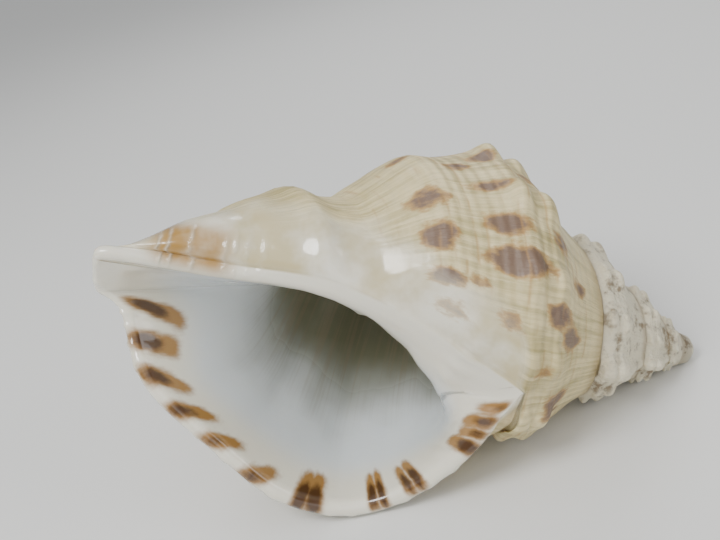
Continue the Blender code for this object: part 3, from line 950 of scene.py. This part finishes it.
def paintShell():
    finish = shellFinish
    paint = Recipe("shellSurface")
    shader = paint.shader
    spot = paint.node("ShaderNodeTexCoord").outputs["Object"]
    grow = paint.vector("grow")
    fact = {name: paint.fact(name) for name in look}
    worn, rough, shadedDeep, callus = fact["worn"], fact["rough"], fact["shadedDeep"], fact["callus"]

    def layer(colour, name, mask, under=None):
        low, high, share = finish["layers"][name]
        shown = paint.span(mask, low, high)
        if under is not None:
            shown = paint.times(under, shown)
        return paint.blend(paint.times(shown, share), colour, finish[name])

    # Grains: clouds, specks and pits in metres, the others along the growth in millimetres
    cloud = paint.grain(spot, 45.0, 4.0)
    speck = paint.grain(spot, 420.0, 5.0, 0.65)
    fine = paint.grain(spot, 150.0, 4.0, 0.6)
    lines = paint.grain(paint.stretched(grow, (0.42, 0.03, 1.0)), 1.0, 5.0, 0.6, 0.3)
    ragged = paint.grain(paint.stretched(grow, (0.30, 0.16, 1.0)), 1.0, 4.0, 0.6)
    drawn = paint.grain(paint.stretched(grow, (0.055, 0.22, 1.0)), 1.0, 2.0)
    streak = paint.grain(paint.stretched(grow, (0.55, 0.02, 1.0)), 1.0, 3.0)
    uneven = paint.math("SUBTRACT", ragged, 0.5)

    # Outside: cream with olive growth bands, then the patches
    bands = paint.plus(paint.times(cloud, 0.6), paint.times(lines, 0.7))
    colour = layer(finish["cream"], "olive", bands)
    edge = paint.plus(fact["patches"], paint.times(uneven, finish["ragged"]))
    colour = layer(colour, "flameEdge", edge)
    colour = layer(colour, "flameCore", edge)

    # Thin brown lines between the cords, broken here and there
    parts = paint.node("ShaderNodeSeparateXYZ")
    paint.feed(parts.inputs[0], grow)
    cord = paint.math("SINE", paint.times(parts.outputs["Y"], 2 * math.pi / finish["cordPitch"]))
    between = paint.math("POWER", paint.math("SUBTRACT", 0.5, paint.times(cord, 0.5)), 5.0)
    low, high, share = finish["cordLine"]
    between = paint.times(paint.times(between, paint.span(drawn, low, high)), fact["cords"])
    colour = paint.blend(paint.times(between, share), colour, finish["flameEdge"])

    # The worn spire, dirt in its low places, and painted shade in the suture groove and the
    # shoulder groove
    colour = paint.blend(paint.times(worn, finish["wear"]), colour, finish["chalk"])
    most, less = finish["dirtOffKnobs"]
    low = paint.math("SUBTRACT", most, paint.times(fact["knob"], less), clamp=True)
    dirt = paint.plus(paint.times(speck, 0.5), paint.times(fine, 0.7))
    dirt = paint.times(paint.span(dirt, *finish["dirt"]), low)
    dirt = paint.times(dirt, paint.plus(worn, finish["dirtOnBody"]))
    colour = paint.blend(dirt, colour, finish["grime"])
    colour = paint.blend(paint.times(fact["grooveShade"], finish["grooveShadeShare"]), colour,
                         finish["grooveShade"])

    # Inside: porcelain, milky further in, and a dark olive painted shade at the back of the hollow,
    # with darker streaks in it
    inner = layer(finish["porcelain"], "callusTint", cloud, callus)
    inner = paint.blend(fact["blue"], inner, finish["milk"])
    inner = paint.blend(shadedDeep, inner, finish["cavityShade"])
    low, high, share = finish["streak"]
    streak = paint.times(shadedDeep, paint.span(streak, low, high))
    inner = paint.blend(paint.times(streak, share), inner, finish["grime"])
    low, high, _ = finish["layers"]["flameEdge"]
    veil = paint.times(callus, paint.times(paint.span(edge, low, high), -finish["veil"]))
    colour = paint.blend(paint.plus(fact["porcelain"], veil), colour, inner)
    ripple = paint.times(uneven, finish["markRagged"])
    colour = layer(colour, "lipFringe", paint.plus(fact["lipFringe"], ripple))
    colour = layer(colour, "lipDark", paint.plus(fact["lipDark"], ripple))

    # The columella: an ochre stain under pale folds
    folds = 0.0
    for place, half, height in finish["folds"]:
        folds = paint.plus(paint.times(paint.hill(fact["place"], place, half), height), folds)
    outside, inside = finish["foldReach"]
    nearEdge = paint.times(paint.span(fact["depth"], *outside),
                           paint.span(fact["depth"], *inside))
    low, high, foldShare = finish["foldBreaks"]
    folds = paint.times(paint.times(folds, nearEdge), paint.span(fine, low, high))
    low, high, share = finish["stainCloud"]
    stain = paint.times(fact["stain"], paint.span(cloud, low, high))
    colour = paint.blend(paint.times(stain, share), colour, finish["stain"])
    colour = paint.blend(paint.times(folds, foldShare), colour, finish["porcelain"])
    paint.feed(shader.inputs["Base Color"], colour)

    amount = finish["roughness"]
    dull = paint.plus(paint.times(worn, amount["worn"]), paint.times(speck, amount["speck"]))
    roughness = paint.plus(amount["inside"], paint.times(rough, amount["outside"]))
    roughness = paint.plus(roughness, paint.times(dull, rough))
    roughness = paint.plus(roughness, paint.times(shadedDeep, amount["shadedDeep"]))
    gloss = paint.math("SUBTRACT", 1.0, rough, clamp=True)
    paint.feed(shader.inputs["Roughness"], roughness)
    paint.feed(shader.inputs["Coat Weight"], paint.times(gloss, finish["coat"]))
    shader.inputs["Coat Roughness"].default_value = finish["coatRoughness"]
    shader.inputs["IOR"].default_value = finish["refraction"]
    shader.inputs["Subsurface Weight"].default_value = finish["scatter"]["weight"]
    shader.inputs["Subsurface Radius"].default_value = finish["scatter"]["radius"]
    shader.inputs["Subsurface Scale"].default_value = finish["scatter"]["scale"]

    rise = finish["relief"]
    height = paint.times(paint.times(lines, rise["lines"]), rough)
    height = paint.plus(height, paint.times(paint.times(cord, rise["cords"]), fact["cords"]))
    height = paint.plus(height, paint.times(paint.times(speck, rise["specks"]), rough))
    pitted = paint.plus(paint.times(fine, rise["pits"]), paint.times(speck, rise["wornSpecks"]))
    height = paint.plus(height, paint.times(pitted, worn))
    height = paint.plus(height, paint.times(folds, rise["folds"]))
    height = paint.plus(height, paint.times(fine, rise["fine"]))
    bump = paint.node("ShaderNodeBump")
    bump.inputs["Distance"].default_value = 0.001  # a height of 1 is a millimetre
    paint.feed(bump.inputs["Height"], height)
    paint.feed(shader.inputs["Normal"], bump.outputs["Normal"])
    return paint.material


mesh.materials.append(paintShell())
print("shell painted")

studio = {
    "floorSize": 60.0,
    "floorColour": (0.80, 0.80, 0.78, 1),
    "floorRoughness": 0.65,
    "floorSpecular": 0.25,
    "worldColour": (0.90, 0.93, 0.97, 1),
    "worldStrength": 0.26,
    "skyAngle": 80.0,
    "skyTurn": (0.35, -0.25, 0.0),
    "skyStrength": 1.05,
    # place, what it is aimed at, size, watts
    "lamps": [
        ((-0.38, -0.34, 0.76), (0.0, 0.0, 0.04), 0.36, 5.2),
        ((0.62, -0.30, 0.42), (0.02, 0.0, 0.04), 0.40, 1.1),
        ((0.20, 0.60, 0.62), (0.0, 0.0, 0.05), 0.40, 1.8),
        ((-0.05, -0.85, 0.30), (0.0, 0.0, 0.04), 0.50, 0.8)],
}


def setStudio():
    half = studio["floorSize"] / 2
    plane = bpy.data.meshes.new("floor")
    plane.from_pydata([(-half, -half, 0), (half, -half, 0), (half, half, 0), (-half, half, 0)],
                      [], [(0, 1, 2, 3)])
    floor = bpy.data.objects.new("floor", plane)
    bpy.context.scene.collection.objects.link(floor)
    cover = Recipe("floor")
    cover.shader.inputs["Base Color"].default_value = studio["floorColour"]
    cover.shader.inputs["Roughness"].default_value = studio["floorRoughness"]
    cover.shader.inputs["Specular IOR Level"].default_value = studio["floorSpecular"]
    plane.materials.append(cover.material)

    world = bpy.data.worlds.new("studio")
    world.use_nodes = True
    back = world.node_tree.nodes["Background"]
    back.inputs["Color"].default_value = studio["worldColour"]
    back.inputs["Strength"].default_value = studio["worldStrength"]
    bpy.context.scene.world = world

    sky = bpy.data.lights.new("softSky", "SUN")
    sky.energy = studio["skyStrength"]
    sky.angle = math.radians(studio["skyAngle"])
    above = bpy.data.objects.new("softSky", sky)
    above.rotation_euler = studio["skyTurn"]
    bpy.context.scene.collection.objects.link(above)

    for number, (place, target, size, watts) in enumerate(studio["lamps"]):
        lamp = bpy.data.lights.new(f"softbox{number + 1}", "AREA")
        lamp.shape = "DISK"
        lamp.size = size
        lamp.energy = watts
        holder = bpy.data.objects.new(lamp.name, lamp)
        holder.location = place
        toward = Vector(target) - Vector(place)
        holder.rotation_euler = toward.to_track_quat("-Z", "Y").to_euler()
        bpy.context.scene.collection.objects.link(holder)


photoView = {
    "place": (-0.00111, -0.23862, 0.19027),
    "right": (0.96362, -0.09320, -0.25032),
    "up": (0.26440, 0.46462, 0.84509),
    "ahead": (-0.03754, 0.88061, -0.47238),
    "fieldOfView": 46.83,
    "clip": (0.005, 50.0),
}


def setCamera():
    lens = bpy.data.cameras.new("photoView")
    lens.sensor_fit = "HORIZONTAL"
    lens.angle = math.radians(photoView["fieldOfView"])
    lens.clip_start, lens.clip_end = photoView["clip"]
    eye = bpy.data.objects.new("photoView", lens)
    right, up = Vector(photoView["right"]), Vector(photoView["up"])
    back = -Vector(photoView["ahead"])
    eye.matrix_world = Matrix.Translation(photoView["place"]) @ Matrix(
        (right, up, back)).transposed().to_4x4()
    bpy.context.scene.collection.objects.link(eye)
    bpy.context.scene.camera = eye


setStudio()
setCamera()
print("studio ready")
